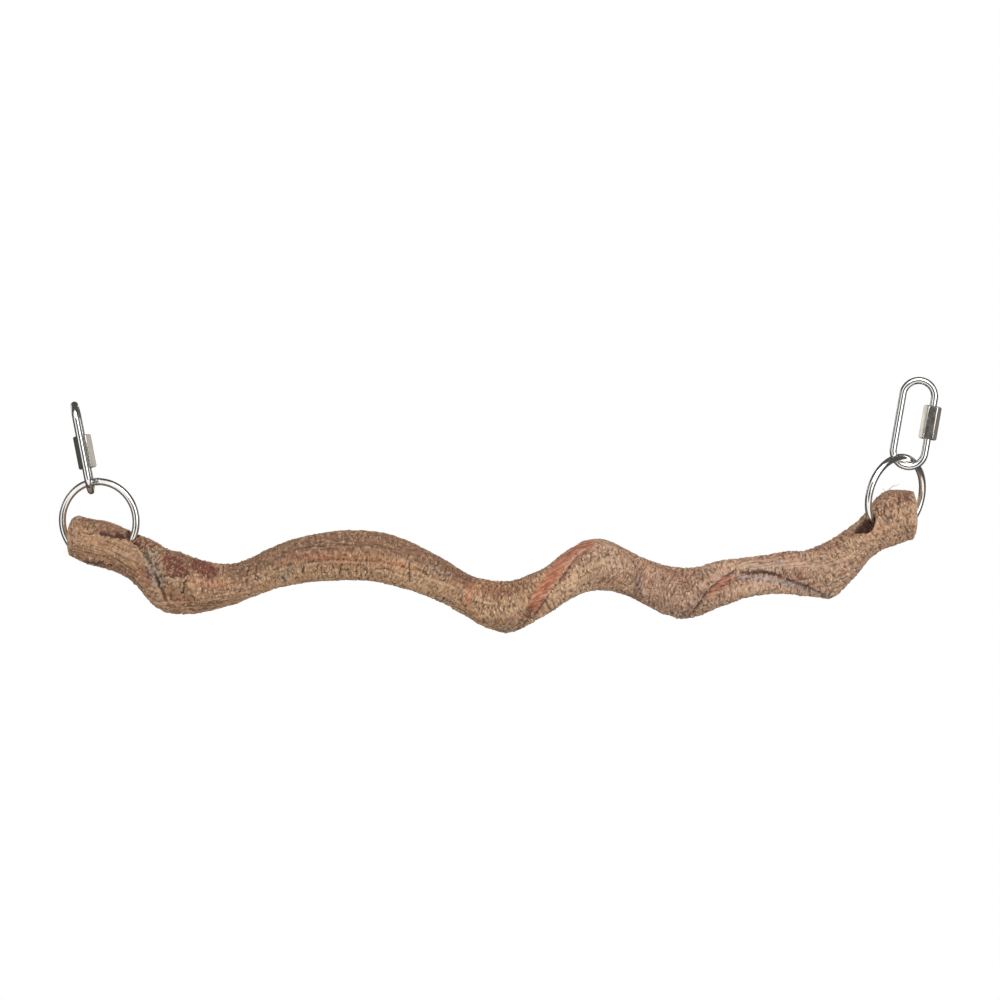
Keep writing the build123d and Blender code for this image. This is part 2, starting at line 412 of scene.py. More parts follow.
edges = []
for rows, side in ((strand_edges, front), (strand_edges_behind, back)):
    for raised, lowered, reach, *points in rows:
        edges.append(strand_edge(raised, lowered, reach, points, side))
strand = sum(height for height, shade in edges)
foot_shade = np.maximum.reduce([shade for height, shade in edges])
# The feet of the strand edges are darkened in colour with painted shade, through the dark mark.
foot_shade_strength = np.where(back > front, foot_shade_strength_behind, np.interp(seen_x, foot_places, foot_shade_strengths))
dark = np.maximum(dark, foot_shade * foot_shade_strength)

# A chip broke away at the left saw cut, the corner over it is raised, and the bark beside that is split
# off to a flat top. Heights are in millimetres.
millimetre = 0.001
chip_place = (66, 520)
chip_fade = (2.0, 5.0)
chip_height = -1.2
crown_place = (75, 516)
crown_fade = (3.0, 12.0)
crown_height = 0.9
flat_start = (78, 92)
flat_end = (112, 138)
flat_facing = (0.2, 0.8)
flat_height = -0.8


def spot(middle, fade_reach):
    """A round spot that fades between two distances from its middle."""
    return 1.0 - soft_step(*fade_reach, np.hypot(seen_x - middle[0], seen_y - middle[1]))


flat_top = soft_step(*flat_start, seen_x) * (1.0 - soft_step(*flat_end, seen_x))
flat_top = flat_top * soft_step(*flat_facing, facing[:, 2]) * flat_height
chip = spot(chip_place, chip_fade) * chip_height
crown = spot(crown_place, crown_fade) * crown_height
strand = strand + chip + flat_top + crown

# The valleys between the grown strands are found from the branch's own shape, all the way round.
valley_depth = 0.0009
valley_rounds = 40
valley_fade = (-0.25, 0.5)


def smoothed(mesh, points, rounds):
    """The points after each has moved to the middle of its neighbours that many times."""
    pairs = np.empty(len(mesh.edges) * 2, dtype=np.int64)
    mesh.edges.foreach_get("vertices", pairs)
    pairs = pairs.reshape(-1, 2)
    neighbours = np.bincount(pairs.ravel(), minlength=len(points))
    for number in range(rounds):
        total = np.zeros_like(points)
        for column in range(3):
            total[:, column] = np.bincount(pairs[:, 0], points[pairs[:, 1], column], len(points))
            total[:, column] += np.bincount(pairs[:, 1], points[pairs[:, 0], column], len(points))
        points = total / neighbours[:, None]
    return points


def sunk(points, outward, rounds, depth):
    """How far each point lies below what is round it, counted in that depth."""
    return ((smoothed(branch_mesh, points, rounds) - points) * outward).sum(axis=1) / depth


valley = soft_step(*valley_fade, sunk(place, facing, valley_rounds, valley_depth))

# The saw cuts are the faces that look along the branch at its two ends. The drilled walls are those near a
# ring's wire or round the axis of a mouth. They are coloured a dark torn brown, less so on a ledge of torn
# wood in the right-hand mouth.
ring_radius = 0.0275
passage_radius = 0.0029
passage_fade = (0.0008, 0.0022)
sawn_facing = (0.75, 0.9)
sawn_reach = (0.008, 0.014)
mouth_lean = math.radians(20)
mouths = (((-0.2566, -0.0048, -0.0253), 0.00475), ((0.254, -0.0071, -0.0276), 0.007))
mouth_fade = (0.0002, 0.0012)
mouth_foot = -0.001
ledge_marks = ((3.0, 1.0, 1.0, (855, 527), (861, 519)),)
ledge_paleness = 0.6
joints = {joint["name"]: joint for joint in frame["record"]["behaviour"]["joints"]}


def ring_frame(side):
    """Middle, across, up and axis of the ring at one end, from the joints it turns on and hangs from."""
    turn = joints[side + "_ring_turn"]
    swing = joints[side + "_link_swing"]
    middle = Vector(turn["pos_m"])
    axis = Vector(turn["axis"]).normalized()
    up = (Vector(swing["pos_m"]) - middle).normalized()
    across = Vector(swing["axis"]).normalized()
    return middle, across, up, axis


def past_radius(radius, fade_reach, distance):
    """Rises from 0 to 1 between two distances past a radius."""
    return soft_step(radius + fade_reach[0], radius + fade_reach[1], distance)


tangent = np.stack((np.ones(count), side_slope, rise_slope), axis=1)
tangent /= np.linalg.norm(tangent, axis=1)[:, None]
end_on = np.abs((facing * tangent).sum(axis=1))
near_end = np.minimum(length_along, lengths[-1] - length_along)
sawn = soft_step(*sawn_facing, end_on) * (1.0 - soft_step(*sawn_reach, near_end))
from_wire = np.full(count, np.inf)
for side in ("left", "right"):
    middle, across, up, axis = ring_frame(side)
    offset = as_drilled - np.array(middle)
    out_of_plane = offset @ np.array(axis)
    from_middle = np.linalg.norm(offset - out_of_plane[:, None] * np.array(axis), axis=1)
    from_wire = np.minimum(from_wire, np.hypot(from_middle - ring_radius, out_of_plane))
drilled = 1.0 - past_radius(passage_radius, passage_fade, from_wire)
mouth_axis = np.array((0.0, -math.sin(mouth_lean), math.cos(mouth_lean)))
for mouth_middle, mouth_radius in mouths:
    offset = as_drilled - np.array(mouth_middle)
    up_the_drill = offset @ mouth_axis
    from_axis = np.linalg.norm(offset - up_the_drill[:, None] * mouth_axis, axis=1)
    in_mouth = (1.0 - past_radius(mouth_radius, mouth_fade, from_axis)) * (up_the_drill > mouth_foot)
    drilled = np.maximum(drilled, in_mouth)
passage_darkening = drilled * (1.0 - ledge_paleness * drawn(ledge_marks, np.ones(count)))

marks = {"red": red, "rust": rust, "tan": tan, "dusky": dusky, "dark": dark, "grey": grey, "pale": pale,
         "sawn": sawn, "drilled": drilled, "passage_darkening": passage_darkening, "fibrous": fibrous, "valley": valley,
         "strand": strand * millimetre}
for name, values in marks.items():
    branch_mesh.attributes.new(name, "FLOAT", "POINT").data.foreach_set("value", values.astype(np.float32))
directions = {"along": np.stack((length_along, side_gap, rise_gap), axis=1), "grain_way": tangent}
for name, rows in directions.items():
    stored = branch_mesh.attributes.new(name, "FLOAT_VECTOR", "POINT")
    stored.data.foreach_set("vector", rows.astype(np.float32).ravel())

# The bark is dry and finely cracked, across the grain nearly everywhere and along it where it is
# fibrous. It has lifted into plates and lumps, is gritty all over, and is worn smoother where it is red
# or rusty. A pattern's size is its length along the grain and its width across it.
noise_middle = 0.5
crack_detail = 1.0
warp_size = 0.006
warp_reach = 0.002
cross_cracks_lost = 0.8
cross_crack_size = (0.0042, 0.013)
cross_crack_width = 0.055
cross_patch_size = (0.011, 0.008)
cross_patch_fade = (0.36, 0.5)
long_crack_size = (0.032, 0.0034)
long_crack_width = 0.05
long_patch_size = (0.03, 0.01)
long_patch_fade = (0.46, 0.58)
worn_smooth = 0.6
plate_size = (0.0032, 0.0058)
plate_level = 0.7
lump_size = (0.012, 0.007)
grit_size = (0.0022, 0.003)
scar_grit = 0.003
sawn_smooth = 0.7
relief_sizes = {"Crack depth": 0.0007, "Plate height": 0.0005, "Grit height": 0.0012,
                "Lump height": 0.0012, "Groove depth": 0.0008}


def node(tree, kind, inputs=None, **settings):
    """Adds a node, sets it up and feeds its inputs with values or with other nodes' outputs."""
    made = tree.nodes.new(kind)
    for name, value in settings.items():
        setattr(made, name, value)
    for name, value in (inputs or {}).items():
        if isinstance(value, bpy.types.NodeSocket):
            tree.links.new(value, made.inputs[name])
        else:
            made.inputs[name].default_value = value
    return made


def maths(tree, operation, *values):
    """Adds a math node and gives its output."""
    return node(tree, "ShaderNodeMath", dict(enumerate(values)), operation=operation).outputs[0]


def times(tree, first, second):
    """One amount times another."""
    return maths(tree, "MULTIPLY", first, second)


def lessened(tree, amount, share=1.0):
    """What is left of 1 when a share of an amount is taken away."""
    return maths(tree, "SUBTRACT", 1.0, times(tree, amount, share))


def vector_maths(tree, operation, first, second):
    """Adds a vector math node and gives its output."""
    return node(tree, "ShaderNodeVectorMath", {0: first, 1: second}, operation=operation).outputs[0]


def stretched(tree, vector, lengthwise, crosswise):
    """The grain's coordinates, counted in pattern sizes along and across the grain."""
    return vector_maths(tree, "MULTIPLY", vector, (1.0 / lengthwise, 1.0 / crosswise, 1.0 / crosswise))


def noise(tree, vector, detail=2.0):
    """Soft noise from 0 to 1, one lump to each pattern size."""
    return node(tree, "ShaderNodeTexNoise", {"Vector": vector, "Scale": 1.0, "Detail": detail}).outputs["Fac"]


def fade(tree, value, from_low, from_high, to_low=0.0, to_high=1.0):
    """Carries a value smoothly from one range to another."""
    inputs = {"Value": value, "From Min": from_low, "From Max": from_high,
              "To Min": to_low, "To Max": to_high}
    return node(tree, "ShaderNodeMapRange", inputs, interpolation_type="SMOOTHSTEP").outputs["Result"]


def crack_pattern(tree, place_in_grain, width):
    """Thin wavy lines, where a coarse noise passes its middle."""
    wave = maths(tree, "SUBTRACT", noise(tree, place_in_grain, crack_detail), noise_middle)
    return fade(tree, maths(tree, "ABSOLUTE", wave), 0.0, width, 1.0, 0.0)


def bark_lines(tree, grain, fibrous):
    """How deep each point lies in the bark's cracks: short ones across the grain, long ones along it."""
    warp_place = stretched(tree, grain, warp_size, warp_size)
    warp = node(tree, "ShaderNodeTexNoise", {"Vector": warp_place, "Scale": 1.0}).outputs["Color"]
    warp = vector_maths(tree, "MULTIPLY", warp, (warp_reach, warp_reach, warp_reach))
    bent = vector_maths(tree, "ADD", grain, warp)
    across = crack_pattern(tree, stretched(tree, bent, *cross_crack_size), cross_crack_width)
    across_patch = fade(tree, noise(tree, stretched(tree, grain, *cross_patch_size)), *cross_patch_fade)
    across = times(tree, times(tree, across, across_patch), lessened(tree, fibrous, cross_cracks_lost))
    along = crack_pattern(tree, stretched(tree, bent, *long_crack_size), long_crack_width)
    along_patch = fade(tree, noise(tree, stretched(tree, grain, *long_patch_size)), *long_patch_fade)
    along = times(tree, along, maths(tree, "MAXIMUM", along_patch, fibrous))
    return maths(tree, "MAXIMUM", across, along)


def sized_tree(name, sizes, takes_shape=True):
    """An empty tree with named inputs for its sizes, and its inputs' sockets."""
    tree = bpy.data.node_groups.new(name, "GeometryNodeTree")
    if takes_shape:
        tree.interface.new_socket("Geometry", in_out="INPUT", socket_type="NodeSocketGeometry")
    for size, kind in sizes.items():
        tree.interface.new_socket(size, in_out="INPUT", socket_type="NodeSocket" + kind)
    tree.interface.new_socket("Geometry", in_out="OUTPUT", socket_type="NodeSocketGeometry")
    return tree, tree.nodes.new("NodeGroupInput").outputs


def end_tree(tree, shape, finish):
    """Ends a tree: its copies are made real, get their finish and go out."""
    real = node(tree, "GeometryNodeRealizeInstances", {"Geometry": shape.outputs[0]})
    dressed = node(tree, "GeometryNodeSetMaterial", {"Geometry": real.outputs[0], "Material": finish})
    node(tree, "NodeGroupOutput", {"Geometry": dressed.outputs[0]})
    return tree


def made_by(tree, piece, sizes):
    """Gives a piece a tree's work, with those sizes for its named inputs, as a plain mesh."""
    modifier = piece.modifiers.new(tree.name, "NODES")
    modifier.node_group = tree
    for item in tree.interface.items_tree:
        if item.name in sizes:
            modifier[item.identifier] = sizes[item.name]
    return made_plain(piece)


def read(tree, name, kind="FLOAT"):
    """A stored mark of the bark, inside a tree that shapes it."""
    return node(tree, "GeometryNodeInputNamedAttribute", {"Name": name}, data_type=kind).outputs["Attribute"]


def bark_relief(finish):
    """The tree that raises and cracks the bark, with the grooves and edges of its marks."""
    tree, given = sized_tree("bark relief", {name: "Float" for name in relief_sizes})
    grain = read(tree, "along", "FLOAT_VECTOR")
    smooth_skin = maths(tree, "MAXIMUM", read(tree, "red"), read(tree, "rust"))
    worn = lessened(tree, smooth_skin, worn_smooth)
    crack = times(tree, bark_lines(tree, grain, read(tree, "fibrous")), worn)
    plate_places = {"Vector": stretched(tree, grain, *plate_size), "Scale": 1.0}
    plates = node(tree, "ShaderNodeTexVoronoi", plate_places, feature="F1")
    plate = node(tree, "ShaderNodeSeparateXYZ", {0: plates.outputs["Color"]}).outputs[0]
    plate = times(tree, maths(tree, "SUBTRACT", plate, plate_level), worn)
    lump = maths(tree, "SUBTRACT", noise(tree, stretched(tree, grain, *lump_size)), noise_middle)
    grit = maths(tree, "SUBTRACT", noise(tree, stretched(tree, grain, *grit_size)), noise_middle)
    height = times(tree, lump, given["Lump height"])
    height = maths(tree, "ADD", height, times(tree, grit, given["Grit height"]))
    height = maths(tree, "ADD", height, times(tree, plate, given["Plate height"]))
    height = maths(tree, "SUBTRACT", height, times(tree, crack, given["Crack depth"]))
    height = maths(tree, "SUBTRACT", height, times(tree, read(tree, "dark"), given["Groove depth"]))
    scar = times(tree, read(tree, "grey"), times(tree, grit, scar_grit))
    height = maths(tree, "ADD", height, scar)
    height = maths(tree, "ADD", height, read(tree, "strand"))
    kept = lessened(tree, read(tree, "sawn"), sawn_smooth)
    kept = times(tree, kept, lessened(tree, read(tree, "drilled")))
    height = times(tree, height, kept)
    outward = tree.nodes.new("GeometryNodeInputNormal").outputs[0]
    offset = node(tree, "ShaderNodeVectorMath", {0: outward, "Scale": height}, operation="SCALE").outputs[0]
    moved = node(tree, "GeometryNodeSetPosition", {"Geometry": given["Geometry"], "Offset": offset})
    smooth = node(tree, "GeometryNodeSetShadeSmooth", {"Geometry": moved.outputs[0]})
    return end_tree(tree, smooth, finish)


# The bark is brown and tan in patches, with dark cracks, painted shade in its hollows and painted light on
# its raised edges, red valleys, rusty and grey scars and pale sawn ends. Each stain has a strength and a
# colour, each patch also the size and the fade of its pattern.
dark_bark = (0.31, 0.168, 0.092)
light_bark = (0.45, 0.276, 0.161)
light_patch_size = (0.06, 0.015)
light_patch_fade = (0.35, 0.65)
patch_detail = 3.0
bark_patches = (
    ((0.022, 0.006), (0.48, 0.66), 0.55, (0.48, 0.246, 0.124)),
    ((0.011, 0.005), (0.52, 0.7), 0.5, (0.24, 0.152, 0.11)),
)
red_valley = (0.36, 0.15, 0.09)
bark_stains = (
    ("valley", 0.5, red_valley),
    ("tan", 0.4, (0.54, 0.345, 0.198)),
    ("red", 0.8, (0.44, 0.15, 0.08)),
    # The dusky stain carries painted shade on the top, the rims and the back as well as the dusky marks.
    ("dusky", 0.8, (0.185, 0.098, 0.062)),
    ("rust", 0.92, (0.155, 0.047, 0.031)),
    ("grey", 0.75, (0.23, 0.18, 0.14)),
)
dash_size = (0.0012, 0.0028)
fibre_size = (0.012, 0.0009)
weave_fade = (0.3, 0.7, 0.6, 1.36)
# The hollow mark drives painted shade in the hollows and painted light on the raised edges.
hollow_fade = (0.1, 1.2, 0.0, 0.7)
painted_hollow_shade = (0.075, 0.04, 0.028)
edge_fade = (-0.3, -1.1, 0.0, 0.4)
painted_ridge_light = (0.6, 0.412, 0.267)
fleck_size = (0.0014, 0.0026)
fleck_fade = (0.62, 0.74)
fleck_strength = 0.5
fleck_cream = (0.68, 0.5, 0.34)
pit_size = (0.0012, 0.0024)
pit_fade = (0.36, 0.27)
pit_strength = 0.55
pit_brown = (0.12, 0.065, 0.045)
pale_strength = 0.7
pale_skin = (0.6, 0.47, 0.39)
crack_strength = 0.4
crack_brown = (0.09, 0.05, 0.035)
dark_strength = 0.8
# This brown paints the dark cracks and grooves, and also painted shadow in gaps and painted shade at the feet
# of strand edges.
crack_and_shadow_brown = (0.06, 0.034, 0.03)
weather_start = (0.3, 0.46)
weather_end = (0.5, 0.64, 1.0, 0.4)
weather_grey = (1.0, 1.04, 1.2)
end_ring_size = (0.02, 0.0012)
end_ring_fade = (0.35, 0.65)
end_wood_dark = (0.36, 0.22, 0.13)
end_wood_light = (0.52, 0.36, 0.23)
torn_size = (0.004, 0.003)
torn_fade = (0.4, 0.65)
torn_dark = (0.09, 0.045, 0.033)
torn_light = (0.27, 0.15, 0.1)
torn_strength = 0.9
crack_bump = 0.5
bark_bump = 0.6
bark_bump_depth = 0.0006
bark_roughness = 0.9
bark_shine = 0.2


def mix(tree, share, first, second, blend="MIX"):
    """Mixes two colours by a share from 0 to 1."""
    made = node(tree, "ShaderNodeMix", {0: share}, data_type="RGBA", blend_type=blend)
    for number, colour in ((6, first), (7, second)):
        if isinstance(colour, bpy.types.NodeSocket):
            tree.links.new(colour, made.inputs[number])
        else:
            made.inputs[number].default_value = (*colour, 1.0)
    return made.outputs[2]


def tinted(tree, colour, amount, strength, paint):
    """A colour with a paint over it, as strongly as an amount says."""
    return mix(tree, times(tree, amount, strength), colour, paint)


def mark(tree, name):
    """A stored mark of the bark, inside a material."""
    return node(tree, "ShaderNodeAttribute", attribute_name=name).outputs["Fac"]


def grain_of(tree):
    """The bark's coordinates along and across its grain, inside a material."""
    return node(tree, "ShaderNodeAttribute", attribute_name="along").outputs["Vector"]


def weathered(tree, colour):
    """The colour made greyer right of the middle, where the bark has weathered more."""
    how_far = node(tree, "ShaderNodeSeparateXYZ", {0: grain_of(tree)}).outputs[0]
    share = times(tree, fade(tree, how_far, *weather_start), fade(tree, how_far, *weather_end))
    return mix(tree, share, colour, weather_grey, "MULTIPLY")


def new_finish(name):
    """An empty material and its tree."""
    material = bpy.data.materials.new(name)
    material.use_nodes = True
    material.node_tree.nodes.clear()
    return material, material.node_tree


def bark_finish():
    """Dry bark with all its stains, and the wood that shows where it is sawn and drilled."""
    material, tree = new_finish("cracked_bark")
    grain = grain_of(tree)
    fibrous = mark(tree, "fibrous")
    patches = noise(tree, stretched(tree, grain, *light_patch_size), patch_detail)
    colour = mix(tree, fade(tree, patches, *light_patch_fade), dark_bark, light_bark)
    for size, patch_fade, strength, paint in bark_patches:
        patches = noise(tree, stretched(tree, grain, *size), patch_detail)
        colour = tinted(tree, colour, fade(tree, patches, *patch_fade), strength, paint)
    for name, strength, paint in bark_stains:
        colour = tinted(tree, colour, mark(tree, name), strength, paint)
    dashes = noise(tree, stretched(tree, grain, *dash_size))
    fibres = noise(tree, stretched(tree, grain, *fibre_size))
    weave = node(tree, "ShaderNodeMix", {0: fibrous, 2: dashes, 3: fibres}, data_type="FLOAT").outputs[0]
    shades = fade(tree, weave, *weave_fade)
    shades = node(tree, "ShaderNodeCombineColor", {0: shades, 1: shades, 2: shades}).outputs[0]
    colour = mix(tree, 1.0, colour, shades, "MULTIPLY")
    hollow = mark(tree, "hollow")
    # Painted shade darkens the hollows and painted light pales the raised edges.
    colour = mix(tree, fade(tree, hollow, *hollow_fade), colour, painted_hollow_shade)
    colour = mix(tree, fade(tree, hollow, *edge_fade), colour, painted_ridge_light)
    flecks = fade(tree, noise(tree, stretched(tree, grain, *fleck_size)), *fleck_fade)
    colour = tinted(tree, colour, flecks, fleck_strength, fleck_cream)
    pits = fade(tree, noise(tree, stretched(tree, grain, *pit_size)), *pit_fade)
    pits = times(tree, pits, lessened(tree, mark(tree, "red")))
    colour = tinted(tree, colour, pits, pit_strength, pit_brown)
    colour = tinted(tree, colour, mark(tree, "pale"), pale_strength, pale_skin)
    crack = bark_lines(tree, grain, fibrous)
    colour = tinted(tree, colour, crack, crack_strength, crack_brown)
    colour = tinted(tree, colour, mark(tree, "dark"), dark_strength, crack_and_shadow_brown)
    colour = weathered(tree, colour)
    end_rings = fade(tree, noise(tree, stretched(tree, grain, *end_ring_size)), *end_ring_fade)
    end_wood = mix(tree, end_rings, end_wood_dark, end_wood_light)
    colour = mix(tree, mark(tree, "sawn"), colour, end_wood)
    torn = fade(tree, noise(tree, stretched(tree, grain, *torn_size)), *torn_fade)
    torn_wood = mix(tree, torn, torn_dark, torn_light)
    colour = tinted(tree, colour, mark(tree, "passage_darkening"), torn_strength, torn_wood)
    height = maths(tree, "SUBTRACT", weave, times(tree, crack, crack_bump))
    bump = node(tree, "ShaderNodeBump",
                {"Strength": bark_bump, "Distance": bark_bump_depth, "Height": height})
    shade = node(tree, "ShaderNodeBsdfPrincipled",
                 {"Base Color": colour, "Roughness": bark_roughness, "Specular IOR Level": bark_shine,
                  "Normal": bump.outputs[0]})
    node(tree, "ShaderNodeOutputMaterial", {"Surface": shade.outputs[0]})
    return material


bark = bark_finish()
branch_mesh = made_by(bark_relief(bark), branch, relief_sizes)

# Painted shade darkens the hollows and painted light pales the raised edges, so each point gets its depth
# below or above what lies round it.
hollow_depth = 0.00035
hollow_rounds = 6
relief_place = rows_of(branch_mesh.vertices, "co")
relief_facing = rows_of(branch_mesh.vertex_normals, "vector")
hollow = sunk(relief_place, relief_facing, hollow_rounds, hollow_depth)
branch_mesh.attributes.new("hollow", "FLOAT", "POINT").data.foreach_set("value", hollow.astype(np.float32))
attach(branch, "branch")
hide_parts("branch")

# The outermost bark has dried into thousands of small pale scales, longer across the grain than along it,
# which stand proud and break up the outline. Few are left where the bark is worn or peeled, and none
# where it is sawn or drilled.
scale_sizes = {"Scales to a square metre": 90000, "Half size": (0.0006, 0.0013, 0.0003),
               "Smallest": 0.45, "Largest": 1.2, "Seed": 7}
scale_inputs = {"Scales to a square metre": "Float", "Half size": "Vector", "Smallest": "Float",
                "Largest": "Float", "Seed": "Int"}
bare_marks = ("fibrous", "rust", "red", "dark")
bare_share = 0.96
scale_brown = (0.27, 0.148, 0.083)
scale_tan = (0.45, 0.28, 0.165)
scale_cream = (0.64, 0.46, 0.305)
tan_chance = (0.0, 0.45)
cream_chance = (0.4, 0.95)
# The dusky mark brings its painted shade onto the scales as well.
scale_stains = (
    ("dusky", 0.6, (0.19, 0.107, 0.068)),
    ("grey", 0.6, (0.25, 0.2, 0.16)),
    ("valley", 0.4, red_valley),
)


def scale_tree(finish):
    """The tree that strews scales over the bark and turns each one square to the grain."""
    tree, given = sized_tree("bark scales", scale_inputs)
    bare = maths(tree, "MAXIMUM", read(tree, "sawn"), read(tree, "drilled"))
    for name in bare_marks:
        bare = maths(tree, "MAXIMUM", bare, times(tree, read(tree, name), bare_share))
    density = times(tree, lessened(tree, bare), given["Scales to a square metre"])
    points = node(tree, "GeometryNodeDistributePointsOnFaces",
                  {"Mesh": given["Geometry"], "Density": density, "Seed": given["Seed"]})
    turned = node(tree, "FunctionNodeAlignRotationToVector",
                  {"Rotation": points.outputs["Rotation"], "Vector": read(tree, "grain_way", "FLOAT_VECTOR")},
                  axis="X", pivot_axis="Z")
    size = node(tree, "FunctionNodeRandomValue",
                {2: given["Smallest"], 3: given["Largest"], "Seed": given["Seed"]})
    lump = node(tree, "GeometryNodeMeshIcoSphere", {"Radius": 1.0, "Subdivisions": 1})
    scale = node(tree, "GeometryNodeTransform", {"Geometry": lump.outputs[0], "Scale": given["Half size"]})
    placed = node(tree, "GeometryNodeInstanceOnPoints",
                  {"Points": points.outputs["Points"], "Instance": scale.outputs[0],
                   "Rotation": turned.outputs[0], "Scale": size.outputs[1]})
    return end_tree(tree, placed, finish)


def scale_finish():
    """Each scale has a brown of its own, from cream to dark, dulled where the bark under it is."""
    material, tree = new_finish("bark_scale")
    chance = node(tree, "ShaderNodeNewGeometry").outputs["Random Per Island"]
    colour = mix(tree, fade(tree, chance, *tan_chance), scale_brown, scale_tan)
    colour = mix(tree, fade(tree, chance, *cream_chance), colour, scale_cream)
    for name, strength, paint in scale_stains:
        colour = tinted(tree, colour, mark(tree, name), strength, paint)
    colour = weathered(tree, colour)
    shade = node(tree, "ShaderNodeBsdfPrincipled",
                 {"Base Color": colour, "Roughness": bark_roughness, "Specular IOR Level": bark_shine})
    node(tree, "ShaderNodeOutputMaterial", {"Surface": shade.outputs[0]})
    return material


scales = put_in_scene("bark_scales", branch_mesh.copy())
made_by(scale_tree(scale_finish()), scales, scale_sizes)
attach(scales, "branch")

# A few torn fibres stand off the bark at the right-hand end, as thin as hairs. Each is drawn through
# points seen from the camera and stays fast in the wood at its first point.
fibre_radius = 0.00013
fibre_sides = 6
fibre_paths = (
    ((886, 493), (888, 489), (892, 486), (896, 485), (899, 484)),
    ((887, 492), (891, 487), (894, 484.5)),
    ((885, 494), (884, 490), (882, 488)),
)


def fibre_tree(finish):
    """The tree that gives drawn lines a round thickness."""
    tree, given = sized_tree("torn fibres", {"Radius": "Float"})
    line = node(tree, "GeometryNodeMeshToCurve", {0: given["Geometry"]})
    smooth = node(tree, "GeometryNodeCurveSplineType", {"Curve": line.outputs[0]}, spline_type="CATMULL_ROM")
    outline = node(tree, "GeometryNodeCurvePrimitiveCircle",
                   {"Resolution": fibre_sides, "Radius": given["Radius"]})
    body = node(tree, "GeometryNodeCurveToMesh",
                {"Curve": smooth.outputs[0], "Profile Curve": outline.outputs[0], "Fill Caps": True})
    return end_tree(tree, body, finish)


fibre_points = []
fibre_lines = []
for path in fibre_paths:
    for number, (x, y) in enumerate(path):
        if number:
            fibre_lines.append((len(fibre_points) - 1, len(fibre_points)))
        right = (x - photo_middle) * photo_step
        up = camera_height - (y - photo_middle) * photo_step
        fibre_points.append((right, 0.0, up))
fibre_drawing = bpy.data.meshes.new("torn_fibres")
fibre_drawing.from_pydata(fibre_points, fibre_lines, [])
fibres = put_in_scene("torn_fibres", fibre_drawing)
made_by(fibre_tree(bark), fibres, {"Radius": fibre_radius})
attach(fibres, "branch")

# Each end hangs from a ring of bright steel wire, bent round and welded shut, that runs through the
# drilled passage. The wire is polished all over, with faint smears, so that no reflection is quite clean.
ring_white = (0.97, 0.96, 0.93)
ring_roughness = 0.15
smear_size = 0.006
smear_detail = 4.0
smear_fade = (0.35, 0.65)
smear_shade = 0.93
scratch_size = 0.0006
scratch_bump = 0.008
scratch_depth = 0.0001
rough_fade = (0.3, 0.7)
rough_least = 0.7
rough_most = 1.3


def steel_finish(name, base, roughness):
    """Bright polished steel with faint smears and scratches."""
    material, tree = new_finish(name)
    where = node(tree, "ShaderNodeTexCoord").outputs["Object"]
    smear = noise(tree, stretched(tree, where, smear_size, smear_size), smear_detail)
    smeared = tuple(smear_shade * part for part in base)
    colour = mix(tree, fade(tree, smear, *smear_fade), base, smeared)
    scratch = noise(tree, stretched(tree, where, scratch_size, scratch_size))
    bump = node(tree, "ShaderNodeBump",
                {"Strength": scratch_bump, "Distance": scratch_depth, "Height": scratch})
    rough = fade(tree, smear, *rough_fade, rough_least * roughness, rough_most * roughness)
    shade = node(tree, "ShaderNodeBsdfPrincipled",
                 {"Base Color": colour, "Metallic": 1.0, "Roughness": rough, "Normal": bump.outputs[0]})
    node(tree, "ShaderNodeOutputMaterial", {"Surface": shade.outputs[0]})
    return material


ring_steel = steel_finish("polished_ring_wire", ring_white, ring_roughness)
for side in ("left", "right"):
    wire = frame["nodes"][side + "_ring"]
    wire.data.materials.clear()
    wire.data.materials.append(ring_steel)

# The left ring's butt weld was ground down by hand and still stands a little proud, with a dull, uneven
# skin. The right ring's weld is hidden in the wood.
weld_angle = math.radians(12)
weld_reach = 0.0026
wire_radius = 0.0025
weld_sink = 0.00005
weld_rise = 0.00022
weld_fullness = 0.7
weld_lumps = ((0.25, 3, 5), (0.2, 2, 7))
weld_rows = 12
weld_round = 24
weld_grey = (0.6, 0.57, 0.53)
weld_roughness = 0.35


def joined_loops(build, loops):
    """Closes the faces between loops of points, from each loop to the next."""
    for first, second in zip(loops, loops[1:]):
        for step in range(len(first)):
            after = (step + 1) % len(first)
            build.faces.new((first[step], first[after], second[after], second[step]))


weld_middle, weld_across, weld_up, weld_axis = ring_frame("left")
weld = bmesh.new()
weld_loops = []
for row in range(weld_rows + 1):
    share = 2 * row / weld_rows - 1
    angle = weld_angle + share * weld_reach / ring_radius
    outward = weld_up * math.cos(angle) + weld_across * math.sin(angle)
    loop = []
    for step in range(weld_round):
        turn = 2 * math.pi * step / weld_round
        lump = sum(size * math.sin(round_it * turn + along_it * share)
                   for size, round_it, along_it in weld_lumps)
        rise = weld_rise * math.cos(share * math.pi / 2) ** weld_fullness * (1 + lump)
        away = outward * math.cos(turn) + weld_axis * math.sin(turn)
        radius = wire_radius - weld_sink + rise
        loop.append(weld.verts.new(weld_middle + outward * ring_radius + away * radius))
    weld_loops.append(loop)
joined_loops(weld, weld_loops)
weld.faces.new(weld_loops[0])
weld.faces.new(weld_loops[-1])
bmesh.ops.recalc_face_normals(weld, faces=weld.faces)
weld_mesh = mesh_from(weld, "left_ring_weld")
weld_mesh.shade_smooth()
weld_mesh.materials.append(steel_finish("ground_weld", weld_grey, weld_roughness))
weld_bead = put_in_scene("left_ring_weld", weld_mesh)
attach(weld_bead, "left_ring")

